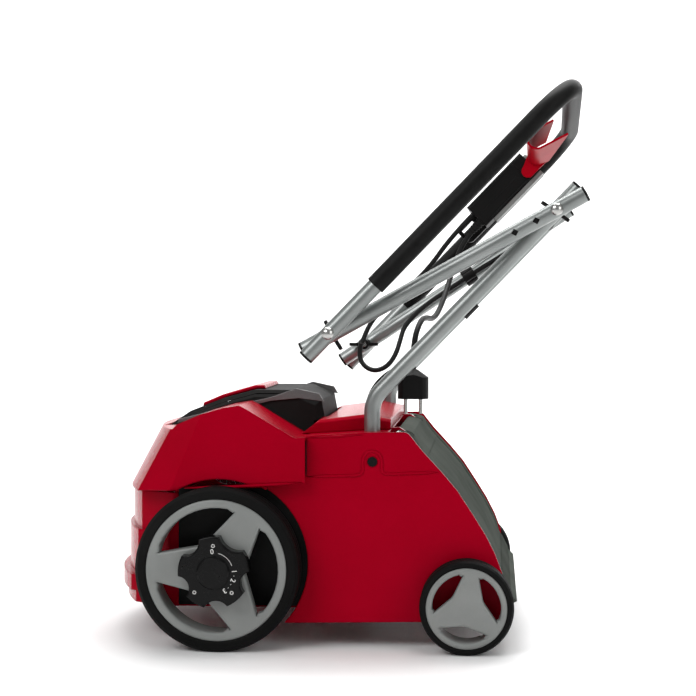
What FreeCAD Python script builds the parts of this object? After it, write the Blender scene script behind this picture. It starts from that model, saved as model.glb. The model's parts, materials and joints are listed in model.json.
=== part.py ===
import FreeCAD, Part
import math
import os

Vector = FreeCAD.Vector
Rotation = FreeCAD.Rotation
Placement = FreeCAD.Placement

# Electric lawn scarifier with a twice-folded handle.
# Frame: +Z up, -X is the way it travels, +X is the operator's side, and the
# origin is on the ground below the middle of the machine. All sizes in mm.
SIZES = {
    # wheels
    "front_wheel_x": -144.6,
    "front_wheel_radius": 100,
    "front_rim_radius": 86,
    "front_rim_opening": 75.5,
    "front_wheel_width": 44,
    "front_wheel_inner": 186,
    "rear_wheel_x": 158.1,
    "rear_wheel_radius": 57,
    "rear_rim_radius": 49,
    "rear_rim_opening": 41.5,
    "rear_wheel_width": 34,
    "rear_wheel_inner": 194,
    "axle_radius": 6,
    "axle_throw": 3.5,
    "bore_radius": 6.05,
    # housing
    "wall": 3.5,
    "deck_half_width": 190,
    "arch_half_width": 178,
    "hood_half_width": 205,
    "bumper_half_width": 180,
    "arch_radius": 107.3,
    "notch_radius": 104.4,
    "cover_half_width": 92,
    # handle
    "tube_radius": 10,
    "tube_wall": 1.5,
    "tube_bend": 38,
    "bar_bend": 60,
    "lower_strut_x": 39.8,
    "lower_strut_y": 160,
    "middle_strut_y": 180.5,
    "upper_leg_y": 201,
    "bend_corner_height": 303.5,
    "lower_pivot_x": 266.5,
    "lower_pivot_height": 537,
    "upper_pivot_x": -10.3,
    "upper_pivot_height": 386,
    "fold_skew_x": 14,
    "fold_skew_z": -24,
    "tube_overhang": 38,
    "crossbar_reach": 425,
    "grip_start": 81.5,
    "grip_radius": 12.2,
    "upper_leg_angle": 45.85,
    # knob
    "knob_outer": 43.5,
    "knob_valley": 34,
    "knob_depth": 16,
    # switch
    "box_start": 246,
    "box_end": 354,
    "lever_length": 149,
    # flap
    "flap_pin_x": 72,
    "flap_pin_height": 258,
    "flap_pin_radius": 3,
    "flap_half_width": 182.5,
    # drive
    "roller_x": 20,
    "roller_height": 86,
    "roller_blade_radius": 48,
    "motor_x": -150,
    "motor_height": 228,
    "motor_radius": 44,
    "small_pulley": 14,
    "big_pulley": 34,
    "belt_y": 166,
    # cords
    "mains_cord_diameter": 7.5,
    "motor_cable_diameter": 7,
}

doc = FreeCAD.newDocument("scarifier")
sheet = doc.addObject("Spreadsheet::Sheet", "sizes")
for row, (alias, value) in enumerate(SIZES.items(), start=1):
    sheet.set(f"A{row}", alias)
    sheet.set(f"B{row}", str(value))
    sheet.setAlias(f"B{row}", alias)
doc.recompute()


def size(alias):
    return float(sheet.get(alias))


NODES = {}


def keep(label, item):
    """Register a finished sub-part under the name of its node."""
    item.Label = label
    NODES[label] = item
    return item


# ---------------------------------------------------------------- helpers

def edges_of(points):
    """Edges of an outline. A point (a, b, via_a, via_b) ends an arc through via."""
    edges = []
    for start, end in zip(points, points[1:] + points[:1]):
        here = Vector(start[0], start[1], 0)
        there = Vector(end[0], end[1], 0)
        if len(end) == 4:
            edges.append(Part.Arc(here, Vector(end[2], end[3], 0), there))
        elif here.distanceToPoint(there) > 1e-6:
            edges.append(Part.LineSegment(here, there))
    return edges


def plane_of(body, role):
    return next(o for o in body.Origin.OriginFeatures if o.Role == role)


def sketch_on(body, role, outlines, offset=0.0):
    """A sketch on one of the body's own planes, shifted along that plane's normal."""
    sketch = body.newObject("Sketcher::SketchObject", "sketch")
    sketch.AttachmentSupport = [(plane_of(body, role), "")]
    sketch.MapMode = "FlatFace"
    sketch.AttachmentOffset = Placement(Vector(0, 0, offset), Rotation())
    for points in outlines:
        if points[0] == "circle":
            _, a, b, radius = points
            sketch.addGeometry(Part.Circle(Vector(a, b, 0), Vector(0, 0, 1), radius))
        else:
            for edge in edges_of(points):
                sketch.addGeometry(edge)
    return sketch


def extrude(body, kind, role, outlines, length, offset=0.0, symmetric=False, reverse=False):
    """A Pad or Pocket whose length may be a number or an expression on the sheet."""
    feature = body.newObject(f"PartDesign::{kind}", kind.lower())
    feature.Profile = sketch_on(body, role, outlines, offset)
    if symmetric:
        feature.SideType = "Symmetric"
    feature.Reversed = reverse
    if isinstance(length, str):
        feature.setExpression("Length", length)
    else:
        feature.Length = length
    doc.recompute()
    return feature


def revolve(body, points, kind="Revolution"):
    """Turn an outline drawn as (radius, height) about the body's Z axis."""
    feature = body.newObject(f"PartDesign::{kind}", kind.lower())
    sketch = sketch_on(body, "XZ_Plane", [points])
    feature.Profile = sketch
    feature.ReferenceAxis = (sketch, ["V_Axis"])
    feature.Angle = 360
    doc.recompute()
    return feature


def polar(body, feature, count):
    pattern = body.newObject("PartDesign::PolarPattern", "pattern")
    pattern.Originals = [feature]
    pattern.Axis = (plane_of(body, "Z_Axis"), [""])
    pattern.Angle = 360
    pattern.Occurrences = count
    body.Tip = pattern
    doc.recompute()
    return pattern


def soften(body, amount, chosen, kind="Fillet"):
    """Fillet or chamfer the edges that the test picks."""
    base = body.Tip
    names = [f"Edge{n}" for n, edge in enumerate(base.Shape.Edges, start=1) if chosen(edge)]
    feature = body.newObject(f"PartDesign::{kind}", kind.lower())
    feature.Base = (base, names)
    if kind == "Fillet":
        feature.Radius = amount
    else:
        feature.Size = amount
    doc.recompute()
    return feature


def new_body(name):
    return doc.addObject("PartDesign::Body", name)


def cylinder(name, radius, height, placement):
    item = doc.addObject("Part::Cylinder", name)
    for prop, amount in (("Radius", radius), ("Height", height)):
        if isinstance(amount, str):
            item.setExpression(prop, amount)
        else:
            setattr(item, prop, amount)
    item.Placement = placement
    return item


def combine(name, kind, items):
    item = doc.addObject(f"Part::{kind}", name)
    item.Shapes = items
    return item


def cut(name, base, tool):
    item = doc.addObject("Part::Cut", name)
    item.Base = base
    item.Tool = tool
    return item


def group(name, items):
    """Several separate solids that share one node."""
    item = doc.addObject("Part::Compound", name)
    item.Links = items
    return item


def mirrored(name, source):
    """The same piece on the other side of the machine."""
    item = doc.addObject("Part::Mirroring", name)
    item.Source = source
    item.Normal = Vector(0, 1, 0)
    return item


def shaped(name, shape, placement=None):
    item = doc.addObject("Part::Feature", name)
    item.Shape = shape
    if placement:
        item.Placement = placement
    return item


def rounded_path(points, radii):
    """Straight runs joined by tangent arcs. One radius per inner point."""
    edges = []
    start = points[0]
    for before, corner, after, radius in zip(points, points[1:], points[2:], radii):
        back = (before - corner).normalize()
        ahead = (after - corner).normalize()
        half_turn = (math.pi - back.getAngle(ahead)) / 2
        reach = radius * math.tan(half_turn)
        first = corner + back * reach
        last = corner + ahead * reach
        middle = corner + (back + ahead).normalize() * (radius / math.cos(half_turn) - radius)
        if start.distanceToPoint(first) > 1e-4:
            edges.append(Part.LineSegment(start, first).toShape())
        edges.append(Part.Arc(first, middle, last).toShape())
        start = last
    edges.append(Part.LineSegment(start, points[-1]).toShape())
    return Part.Wire(edges)


def swept(path, radius):
    start = path.Edges[0]
    origin = start.valueAt(start.FirstParameter)
    heading = start.tangentAt(start.FirstParameter)
    ring = Part.Wire([Part.makeCircle(radius, origin, heading)])
    return path.makePipeShell([ring], True, False)


def tube(path, outer, inner):
    return swept(path, outer).cut(swept(path, inner))


def cord(name, points, diameter):
    """A cord of straight runs and the largest arcs that its runs allow."""
    radii = []
    for before, corner, after in zip(points, points[1:], points[2:]):
        runs = (corner.distanceToPoint(before), corner.distanceToPoint(after))
        half_turn = (math.pi - (before - corner).getAngle(after - corner)) / 2
        radii.append(0.45 * min(runs) / math.tan(half_turn))
    path = rounded_path(points, radii)
    solid = swept(path, diameter / 2)
    expected = math.pi * diameter ** 2 / 4 * path.Length
    print(f"{name}: length {path.Length:.0f}, radii {[round(r) for r in radii]},"
          f" volume ratio {solid.Volume / expected:.3f}")
    return shaped(name, solid)


def wire_of(points, lift):
    edges = []
    for start, end in zip(points, points[1:] + points[:1]):
        here, there = lift(*start[:2]), lift(*end[:2])
        if len(end) == 4:
            edges.append(Part.Arc(here, lift(*end[2:]), there).toShape())
        elif here.distanceToPoint(there) > 1e-6:
            edges.append(Part.LineSegment(here, there).toShape())
    return Part.Wire(edges)


def prism(points, half, start=None):
    """An (X, Z) outline extruded along Y, from -half to half or from start to half."""
    low = -half if start is None else start
    wire = wire_of(points, lambda a, b: Vector(a, low, b))
    return Part.Face(wire).extrude(Vector(0, half - low, 0))


def slab(points, low, high):
    """An (X, Y) outline extruded up from low to high."""
    wire = wire_of(points, lambda a, b: Vector(a, b, low))
    return Part.Face(wire).extrude(Vector(0, 0, high - low))


def filled(shape):
    """The shape with its outside facing outwards."""
    return shape.reversed() if shape.Volume < 0 else shape


def both_sides(shape):
    """The shape and its mirror image across the middle plane."""
    return [filled(shape), filled(shape.mirror(Vector(0, 0, 0), Vector(0, 1, 0)))]


def at_y(point, y):
    return Vector(point.x, y, point.z)


def rod(radius, start, end):
    return Part.makeCylinder(radius, start.distanceToPoint(end), start, end - start)


def sleeve(outer, inner, start, end):
    return rod(outer, start, end).cut(rod(inner, start, end))


LEFT_WHEEL_TURN = Rotation(Vector(1, 0, 0), 90)     # local +Z points to the machine's -Y
ALONG_Y = Rotation(Vector(1, 0, 0), -90)            # local +Z points to the machine's +Y


# ---------------------------------------------------------------- wheels

def ray(radius, degrees):
    turn = math.radians(degrees)
    return (radius * math.cos(turn), radius * math.sin(turn))


def spoke_gap(outer, inner, angle, half_rim, half_hub):
    """The opening between two of three spokes, centred on an angle."""
    rim_turn = 60 - math.degrees(math.asin(half_rim / outer))
    hub_turn = 60 - math.degrees(math.asin(half_hub / inner))
    return [
        ray(inner, angle - hub_turn),
        ray(outer, angle - rim_turn),
        ray(outer, angle + rim_turn) + ray(outer, angle),
        ray(inner, angle + hub_turn),
        ray(inner, angle - hub_turn) + ray(inner, angle),
    ]


def wheel(name, x, radius, rim_radius, opening, width, inner_face, first_spoke, hub):
    """A rim with three spokes and its tyre. Local +Z points outwards."""
    half = width / 2
    web_top = half - 4
    web_bottom = half - 18
    ring = opening
    rim = new_body(f"{name}_rim_body")
    revolve(rim, [
        (size("bore_radius"), 2 - half),
        (hub, 2 - half),
        (hub, web_bottom),
        (ring, web_bottom),
        (ring, 3 - half),
        (rim_radius, 3 - half),
        (rim_radius, half - 3),
        (ring + 3, half - 2),
        (ring, web_top),
        (hub + 2, web_top + 1),
        (hub, half - 1),
        (size("bore_radius"), half - 1),
    ])
    gap = spoke_gap(opening - 0.01, hub + 8, first_spoke + 60, opening * 0.17, hub * 0.85)
    window = extrude(rim, "Pocket", "XY_Plane", [gap], width, offset=half)
    polar(rim, window, 3)
    tyre = new_body(f"{name}_tyre_body")
    groove = radius - 2
    shoulder = radius - radius * 0.04
    revolve(tyre, [
        (rim_radius, 1 - half),
        (rim_radius + 2, -half),
        (shoulder, 1.5 - half),
        (radius, 6 - half),
        (radius, -half * 0.36),
        (groove, -half * 0.28),
        (radius, -half * 0.2),
        (radius, half * 0.2),
        (groove, half * 0.28),
        (radius, half * 0.36),
        (radius, half - 6),
        (shoulder, half - 1.5),
        (rim_radius + 2, half),
        (rim_radius, half - 1),
    ])
    centre = Vector(x, -inner_face - half, radius)
    for body, part in ((rim, "rim"), (tyre, "tyre")):
        body.Placement = Placement(centre, LEFT_WHEEL_TURN)
        left = keep(f"{name}_left_{part}", body)
        keep(f"{name}_right_{part}", mirrored(f"{name}_right_{part}", left))


wheel("front_wheel", size("front_wheel_x"), size("front_wheel_radius"), size("front_rim_radius"),
      size("front_rim_opening"), size("front_wheel_width"), size("front_wheel_inner"), 58, 30)
wheel("rear_wheel", size("rear_wheel_x"), size("rear_wheel_radius"), size("rear_rim_radius"),
      size("rear_rim_opening"), size("rear_wheel_width"), size("rear_wheel_inner"), 80, 12)

# ---------------------------------------------------------------- front axle and knob

axle_x = size("front_wheel_x")
wheel_height = size("front_wheel_radius")
main_height = wheel_height + size("axle_throw")
wheel_outer = size("front_wheel_inner") + size("front_wheel_width")


def sideways(x, y_start, z):
    """Placement of a round piece that starts at y_start and runs towards +Y."""
    return Placement(Vector(x, y_start, z), ALONG_Y)


main_shaft = cylinder("main_shaft", "sizes.axle_radius", 360, sideways(axle_x, -180, main_height))
stubs = []
for sign in (-1, 1):
    start = 178.4 if sign > 0 else -184.4
    stubs.append(cylinder("crank_disc", 16, 6, sideways(axle_x, start, main_height)))
    reach = wheel_outer - 0.5 - 182
    start = 182 if sign > 0 else -182 - reach
    stubs.append(cylinder("wheel_stub", "sizes.axle_radius", reach, sideways(axle_x, start, wheel_height)))
keep("front_axle", combine("front_axle", "MultiFuse", [main_shaft] + stubs))


def lobed(outer, valley, centre_angles, half_lobe):
    """A star outline: round lobes joined by hollow valleys."""
    points = []
    for angle, nxt in zip(centre_angles, centre_angles[1:] + [centre_angles[0] + 360]):
        points.append(ray(outer, angle - half_lobe))
        points.append(ray(outer, angle + half_lobe) + ray(outer, angle))
        end = ray(outer, nxt - half_lobe)
        points.append(end + ray(valley, (angle + nxt) / 2))
    return points


knob = new_body("knob_body")
lobes = lobed(size("knob_outer"), size("knob_valley"), [97.5, 169.5, 237.5, 309, 379.5], 17)
extrude(knob, "Pad", "XY_Plane", [lobes], "sizes.knob_depth")
soften(knob, 2.2, lambda e: e.BoundBox.ZMin > size("knob_depth") - 0.01)
extrude(knob, "Pad", "XY_Plane", [("circle", 0, 0, 20)], 4, offset=size("knob_depth") - 0.5)
soften(knob, 2, lambda e: e.BoundBox.ZMin > size("knob_depth") + 3.4, "Chamfer")
knob.Placement = Placement(Vector(axle_x, -wheel_outer - 0.3, wheel_height), LEFT_WHEEL_TURN)
keep("depth_knob", knob)

screw_heads = []
knob_face = wheel_outer + 0.3 + size("knob_depth")
for angle in (90, 226, 314):
    dx, dz = ray(32.5, angle)
    screw_heads.append(cylinder("knob_screw", 2.4, 1.2,
                                sideways(axle_x + dx, -knob_face - 1.2, wheel_height + dz)))
keep("knob_screws", group("knob_screws", screw_heads))

cap = new_body("axle_cap_body")
revolve(cap, [(0, 0), (24, 0), (24, 8), (20, 14), (9, 19.5), (0, 19.5)])
cap.Placement = Placement(Vector(axle_x, wheel_outer + 0.3, wheel_height), ALONG_Y)
keep("axle_end_cap", cap)

bushes = []
for y in (-178, 168):
    ring = cylinder("bush_ring", 11, 10, sideways(axle_x, y, main_height))
    hole = cylinder("bush_hole", "sizes.bore_radius", 12, sideways(axle_x, y - 1, main_height))
    bushes.append(cut("front_bush", ring, hole))
roller_x = size("roller_x")
roller_height = size("roller_height")
for y in (-174, 144):
    ring = cylinder("bearing_ring", 16, 12, sideways(roller_x, y, roller_height))
    hole = cylinder("bearing_hole", 8.05, 14, sideways(roller_x, y - 1, roller_height))
    bushes.append(cut("roller_bearing", ring, hole))
keep("shaft_bearings", group("shaft_bearings", bushes))

rear_reach = size("rear_wheel_inner") + size("rear_wheel_width") - 2
keep("rear_axle", cylinder("rear_axle", "sizes.axle_radius", 2 * rear_reach,
                           sideways(size("rear_wheel_x"), -rear_reach, size("rear_wheel_radius"))))

# ---------------------------------------------------------------- housing

wall = size("wall")
arch = size("arch_radius")
deck_half = size("deck_half_width")
arch_half = size("arch_half_width")
hood_half = size("hood_half_width")
cover_half = size("cover_half_width")


def on_arch(radius, height):
    """X of the rear side of the wheel arch at a height."""
    return axle_x + math.sqrt(radius ** 2 - (height - main_height) ** 2)


def side_panel():
    """Outline of the side walls, which reach to the rear edge of the machine."""
    return [
        (on_arch(arch, 206), 206, axle_x + arch, main_height),
        (-39, 211),
        (-39, 260),
        (31, 264.5),
        (79, 265.5),
        (88, 262, 84, 264.6),
        (103, 243),
        (127, 217),
        (146, 194.5),
        (164, 167),
        (180, 141.5),
        (192, 118),
        (201, 94),
        (201, 35),
        (on_arch(arch, 30), 30),
    ]


def front_plan(tip, half, back):
    """Plan outline of the bowed front: sides, cut corners and a shallow arc."""
    corner = 25
    return [
        (back, -half),
        (tip + 81, -half),
        (tip + 36.5, -half + corner),
        (tip + 36.5, half - corner, tip, 0),
        (tip + 81, half),
        (back, half),
    ]


def arch_sector(radius, start, end):
    """Points of an arc of the wheel arch between two angles."""
    def at(degrees):
        dx, dz = ray(radius, degrees)
        return (axle_x + dx, main_height + dz)
    return at(start), at(end), at((start + end) / 2)


def deck_shell():
    floor_gap, top = 47, 196
    back = on_arch(arch + wall, main_height)
    outside = prism(side_panel(), deck_half)
    centre = prism([(-204, floor_gap), (back, floor_gap), (back, top), (-204, top)], arch_half)
    outside = outside.fuse(centre)
    for low, high, tip in ((47, 64, -296), (62, 82, -302), (80, 139, -293), (137, 188, -288)):
        outside = outside.fuse(slab(front_plan(tip, size("bumper_half_width"), -200), low, high))
    far_roof, near_roof, mid_roof = arch_sector(arch + wall, 58, 114)
    near_lip, far_lip, mid_lip = arch_sector(arch, 114, 58)
    roof = [far_roof, near_roof + mid_roof, near_lip, far_lip + mid_lip]
    outside = outside.fuse(prism(roof, hood_half - wall - 1))
    rear_hollow = prism([
        (on_arch(arch + wall, 206), 206, axle_x + arch + wall, main_height),
        (-36, 214),
        (-36, 256.4),
        (31, 261),
        (62, 261.6),
        (62, 280),
        (230, 280),
        (230, 20),
        (on_arch(arch + wall, 20), 20),
    ], deck_half - wall)
    divider, inner = -72, arch_half - wall
    front_hollow = prism([(-202, 20), (divider, 20), (divider, 230), (-202, 230)], inner)
    lip_hollow = slab(front_plan(-284, size("bumper_half_width") - wall, -190), 20, 230)
    chamber = prism([(divider + wall, 20), (60, 20), (60, 205), (divider + wall, 205)], inner)
    shell = outside.cut(rear_hollow).cut(front_hollow).cut(lip_hollow).cut(chamber)
    # holes for the front axle bushes, the rear axle, the roller bearings and the handle tubes
    shell = shell.cut(rod(11, Vector(axle_x, -arch_half - 1, main_height),
                          Vector(axle_x, arch_half + 1, main_height)))
    rear_x, rear_z = size("rear_wheel_x"), size("rear_wheel_radius")
    shell = shell.cut(rod(size("bore_radius"), Vector(rear_x, -250, rear_z), Vector(rear_x, 250, rear_z)))
    strut_x = size("lower_strut_x")
    shell = shell.cut(rod(6, Vector(strut_x + 2.4, -250, 229), Vector(strut_x + 2.4, 250, 229)))
    # slot for the belt in the wall before the roller
    shell = shell.cut(Part.makeBox(12, 18, 90, Vector(divider - 4, 155, 110)))
    for y in (-size("lower_strut_y"), size("lower_strut_y")):
        shell = shell.cut(rod(size("tube_radius"), Vector(strut_x, y, 240), Vector(strut_x, y, 290)))
    grommet = size("motor_cable_diameter") / 2 + 3
    shell = shell.cut(rod(grommet, Vector(6, 160, 240), Vector(6, 160, 290)))
    pin = Vector(size("flap_pin_x"), 0, size("flap_pin_height"))
    for y in (-124, 124):
        lug = prism([(58, 256), (58, 266), (72, 266.5), (79, 262), (79, 253), (68, 250)], y + 4, start=y - 4)
        shell = shell.fuse(lug)
    shell = shell.cut(rod(size("flap_pin_radius"), at_y(pin, wall - deck_half), at_y(pin, deck_half - wall)))
    return shell.removeSplitter()


keep("deck_shell", shaped("deck_shell", deck_shell()))


def hood_section(grow, rise):
    """Plan of the hood at its lower edge (rise 0) or shrunk towards its top (rise 1)."""
    lean = 44 * rise
    tip, half = -288 + lean + grow, hood_half - grow
    return [
        (-39, -half),
        (tip + 81 - 10 * rise, -half),
        (tip + 36.5, -half + 25),
        (tip + 36.5, half - 25, tip, 0),
        (tip + 81 - 10 * rise, half),
        (-39, half),
    ]


def hood_body(grow):
    """The hood's outer or inner form, between its lower edge and its roof line."""
    low, high = 190, 272
    wires = []
    for height, rise in ((low, 0), (high, 1), (high + 40, 1.5)):
        points = hood_section(grow, rise)
        wires.append(wire_of(points, lambda a, b, z=height: Vector(a, b, z)))
    body = Part.makeLoft(wires[:2], True, True)
    body = body.fuse(Part.makeLoft(wires[1:], True, True))
    roof = [(-320, 262), (-207, 267), (-201, 273), (-168, 287), (-140, 295), (-120, 298),
            (-112, 294), (-53, 259), (-38, 259), (-38, 180), (-320, 180)]
    lowered = [(a, b - grow) for a, b in roof[:-2]] + roof[-2:]
    return body.common(prism(lowered, hood_half + 5))


def hood_shell():
    shell = hood_body(0).cut(hood_body(wall))
    # open below the slanting lower edge, and open inside it
    lower = [(-320, 150), (-30, 150), (-30, 204), (-320, 186)]
    shell = shell.cut(prism(lower, hood_half + 5))
    # the lower edge is bevelled inwards
    for side in both_sides(bevel_cutter()):
        shell = shell.cut(side)
    # room for the wheels, the motor cover and the closed back
    notch = size("notch_radius")
    for y, far in ((-230, -183), (183, 230)):
        shell = shell.cut(rod(notch, Vector(axle_x, y, main_height), Vector(axle_x, far, main_height)))
    slot = prism([(-234, 240), (-30, 240), (-30, 330), (-234, 330)], 100)
    return shell.cut(slot).removeSplitter()


def bevel_cutter():
    """A long wedge along the hood's lower side edge, on the -Y side."""
    wires = []
    for x, height in ((-320, 193), (-30, 211)):
        corner = [Vector(x, -hood_half - 1, height + 1), Vector(x, -hood_half - 1, height - 12),
                  Vector(x, -hood_half + 3, height - 12)]
        wires.append(Part.makePolygon(corner + corner[:1]))
    return Part.makeLoft(wires, True, True)


keep("hood_shell", shaped("hood_shell", hood_shell()))


# ---------------------------------------------------------------- covers on the housing

def deck_cover():
    body = prism([(-50, 259.6), (-38, 260.2), (31, 264.7), (62, 266), (62, 278), (30, 284),
                  (-28, 277)], 147)
    body = body.makeChamfer(4, [e for e in body.Edges if e.BoundBox.ZMin > 276 and e.BoundBox.YLength < 1])
    return body.cut(Part.makeBox(40, 2 * cover_half + 8, 60, Vector(-62, -cover_half - 4, 250)))


keep("rear_deck_cover", shaped("rear_deck_cover", deck_cover()))


def motor_cover():
    """A humped cover with a deep chamfer along both top edges."""
    top = [(-229, 266), (-204, 283), (-163, 299), (-119, 311), (-62, 311), (-32, 298)]
    hump = prism([(-26, 266), (-41, 263), (-41, 235), (-229, 235)] + top, cover_half)
    ridge = [e for e in hump.Edges if e.BoundBox.YLength < 1 and e.BoundBox.ZMin > 260]
    hump = hump.makeChamfer(9, ridge)
    skirt = prism([(-229, 235), (-229, 262), (-120, 264), (-41, 256), (-41, 235)], 99.6)
    inside = prism([(-225, 230)] + [(a + 3, b - wall - 1) for a, b in top[:-1]] + [(-45, 294), (-45, 230)],
                   cover_half - wall)
    return hump.fuse(skirt).cut(inside).removeSplitter()


keep("motor_cover", shaped("motor_cover", motor_cover()))


def cover_cap():
    body = prism([(-191, 288.4), (-163, 299.3), (-119, 311.3), (-108, 311.3), (-110, 316),
                  (-121, 316), (-165, 303.6), (-190, 293)], 62)
    edges = [e for e in body.Edges if e.BoundBox.YLength < 1 and e.BoundBox.ZMin > 291]
    return body.makeChamfer(1.5, edges)


keep("motor_cover_cap", shaped("motor_cover_cap", cover_cap()))


def trim_strip():
    """A grey strip that climbs along the cover's side and ends in a faceted tip."""
    outline = [(-219, 268), (-217, 273.5), (-96, 302.5), (-64, 313.5), (-34, 307), (-28, 297),
               (-60, 301), (-96, 297.5)]
    return prism(outline, cover_half + 2.6, start=cover_half)


keep("cover_trim", shaped("cover_trim", Part.makeCompound(both_sides(trim_strip()))))


def arch_liner():
    """A flat plate over the wall behind the front wheel, with the axle bush through it."""
    top, bottom, front = 194, 49, -199.6
    reach = arch - 0.6
    outline = [(front, bottom), (on_arch(reach, bottom), bottom),
               (on_arch(reach, top), top, axle_x + reach, main_height), (front, top)]
    plate = prism(outline, arch_half + 2, start=arch_half)
    return plate.cut(rod(17, Vector(axle_x, 170, main_height), Vector(axle_x, 190, main_height)))


keep("wheel_arch_liners", shaped("wheel_arch_liners", Part.makeCompound(both_sides(arch_liner()))))

# ---------------------------------------------------------------- handle

tube_outer = size("tube_radius")
tube_inner = tube_outer - size("tube_wall")
slope = math.radians(size("upper_leg_angle"))
uphill = Vector(math.cos(slope), 0, math.sin(slope))
lower_pivot = Vector(size("lower_pivot_x"), 0, size("lower_pivot_height"))
upper_pivot = Vector(size("upper_pivot_x"), 0, size("upper_pivot_height"))
overhang = size("tube_overhang")
bolt_hole = 4.2
leg_y = size("upper_leg_y")


def lower_line(y):
    """A point on the lower fold line."""
    return at_y(lower_pivot, y)


def upper_line(y):
    """A point on the upper fold line. The slack frame lies skewed, lower on the right."""
    share = (y + leg_y) / (2 * leg_y)
    return at_y(upper_pivot, y) + Vector(size("fold_skew_x"), 0, size("fold_skew_z")) * share


upper_axis = (upper_line(leg_y) - upper_line(-leg_y)).normalize()
lower_axis = Vector(0, 1, 0)


def drilled(shape, line):
    return shape.cut(rod(bolt_hole, line(-240), line(240)))


def lower_strut(side):
    y = side * size("lower_strut_y")
    x = size("lower_strut_x")
    foot = Vector(x, y, 200)
    corner = Vector(x, y, size("bend_corner_height"))
    end = lower_line(y) + uphill * overhang
    path = rounded_path([foot, corner, end], [size("tube_bend")])
    return drilled(tube(path, tube_outer, tube_inner), lower_line)


keep("lower_strut_left", shaped("lower_strut_left", lower_strut(-1)))
keep("lower_strut_right", shaped("lower_strut_right", lower_strut(1)))


def end_cap(end, outwards):
    """A plug pressed in a tube's end, with a head as wide as the tube."""
    head = rod(tube_outer, end, end + outwards * 3)
    return head.fuse(rod(tube_inner, end - outwards * 12, end)).removeSplitter()


keep("lower_strut_caps", shaped("lower_strut_caps", Part.makeCompound(
    [end_cap(lower_line(side * size("lower_strut_y")) + uphill * overhang, uphill) for side in (-1, 1)])))


def middle_run(side):
    """Both pivots of a middle tube and the way from the lower to the upper one."""
    y = side * size("middle_strut_y")
    return lower_line(y), upper_line(y), (upper_line(y) - lower_line(y)).normalize()


def middle_strut(side):
    first, last, way = middle_run(side)
    body = sleeve(tube_outer, tube_inner, first - way * overhang, last + way * overhang)
    for reach in (28.5, 58):
        hole = Part.makeBox(6.6, 60, 6.6, Vector(-3.3, -30, -3.3))
        hole.Placement = Placement(first + way * reach, Rotation(Vector(0, 1, 0), 28))
        body = body.cut(hole)
    return drilled(drilled(body, lower_line), upper_line)


keep("middle_strut_left", shaped("middle_strut_left", middle_strut(-1)))
keep("middle_strut_right", shaped("middle_strut_right", middle_strut(1)))
middle_caps = []
for side in (-1, 1):
    first, last, way = middle_run(side)
    middle_caps.append(end_cap(first - way * overhang, way * -1))
    middle_caps.append(end_cap(last + way * overhang, way))
keep("middle_strut_caps", shaped("middle_strut_caps", Part.makeCompound(middle_caps)))


def up_leg(reach, y):
    """A point on the upper bar's legs, or between them, measured from the fold line."""
    return upper_line(y) + uphill * reach


def bar_path(foot):
    crossbar = size("crossbar_reach")
    points = [up_leg(foot, -leg_y), up_leg(crossbar, -leg_y), up_leg(crossbar, leg_y), up_leg(foot, leg_y)]
    return rounded_path(points, [size("bar_bend")] * 2)


def upper_bar():
    return drilled(tube(bar_path(-overhang), tube_outer, tube_inner), upper_line)


keep("upper_bar", shaped("upper_bar", upper_bar()))
keep("upper_bar_caps", shaped("upper_bar_caps", Part.makeCompound(
    [end_cap(up_leg(-overhang, side * leg_y), uphill * -1) for side in (-1, 1)])))
keep("grip_foam", shaped("grip_foam", tube(bar_path(size("grip_start")), size("grip_radius"), tube_outer)))


# ---------------------------------------------------------------- bolts and wing nuts

bolt_radius = 4


def carriage_bolt(line, axis, head_y, tip_y):
    """A domed bolt across a fold, with its head on the outside of the tubes."""
    outwards = axis * (-1 if head_y < 0 else 1)
    seat = line(head_y)
    dome = Part.makeSphere(9, seat - outwards * 4.6)
    dome = dome.common(rod(7.8, seat, seat + outwards * 8))
    return dome.fuse(rod(bolt_radius, seat, line(tip_y))).removeSplitter()


def bolt_pair(line, axis, head_y, tip_y):
    return Part.makeCompound([carriage_bolt(line, axis, side * head_y, side * tip_y) for side in (-1, 1)])


lower_head = size("middle_strut_y") + tube_outer
lower_seat = size("lower_strut_y") - tube_outer - 0.2
upper_head = leg_y + tube_outer + 0.2
upper_seat = size("middle_strut_y") - tube_outer - 0.3
nut_depth = 12
keep("lower_fold_bolts", shaped("lower_fold_bolts",
                                bolt_pair(lower_line, lower_axis, lower_head, lower_seat - nut_depth - 3)))
keep("upper_fold_bolts", shaped("upper_fold_bolts",
                                bolt_pair(upper_line, upper_axis, upper_head, upper_seat - nut_depth - 3)))


def wing_nut(name, line, axis, seat_y, side, turn):
    """A hub with two raised wings, turned to an angle about its bolt."""
    nut = new_body(f"{name}_body")
    bore = bolt_radius + 0.05
    revolve(nut, [(bore, 0), (9.5, 0), (9.5, 4), (7.5, nut_depth), (bore, nut_depth)])
    wing = [(6.8, 1), (12, 2), (20, 6.5), (21, 10), (19, 12.5), (15, 12.5), (6.8, 9)]
    extrude(nut, "Pad", "XZ_Plane", [wing], 4.4, symmetric=True)
    extrude(nut, "Pad", "XZ_Plane", [[(-a, b) for a, b in wing]], 4.4, symmetric=True)
    facing = Rotation(Vector(1, 0, 0), 90 * side)
    spin = Rotation(Vector(0, 1, 0), turn)
    lean = Rotation(Vector(0, 1, 0), axis)
    nut.Placement = Placement(line(side * seat_y), lean.multiply(spin).multiply(facing))
    keep(name, nut)


wing_nut("wing_nut_lower_left", lower_line, lower_axis, lower_seat, -1, 35)
wing_nut("wing_nut_lower_right", lower_line, lower_axis, lower_seat, 1, -40)
wing_nut("wing_nut_upper_left", upper_line, upper_axis, upper_seat, -1, 60)
wing_nut("wing_nut_upper_right", upper_line, upper_axis, upper_seat, 1, 0)

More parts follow.
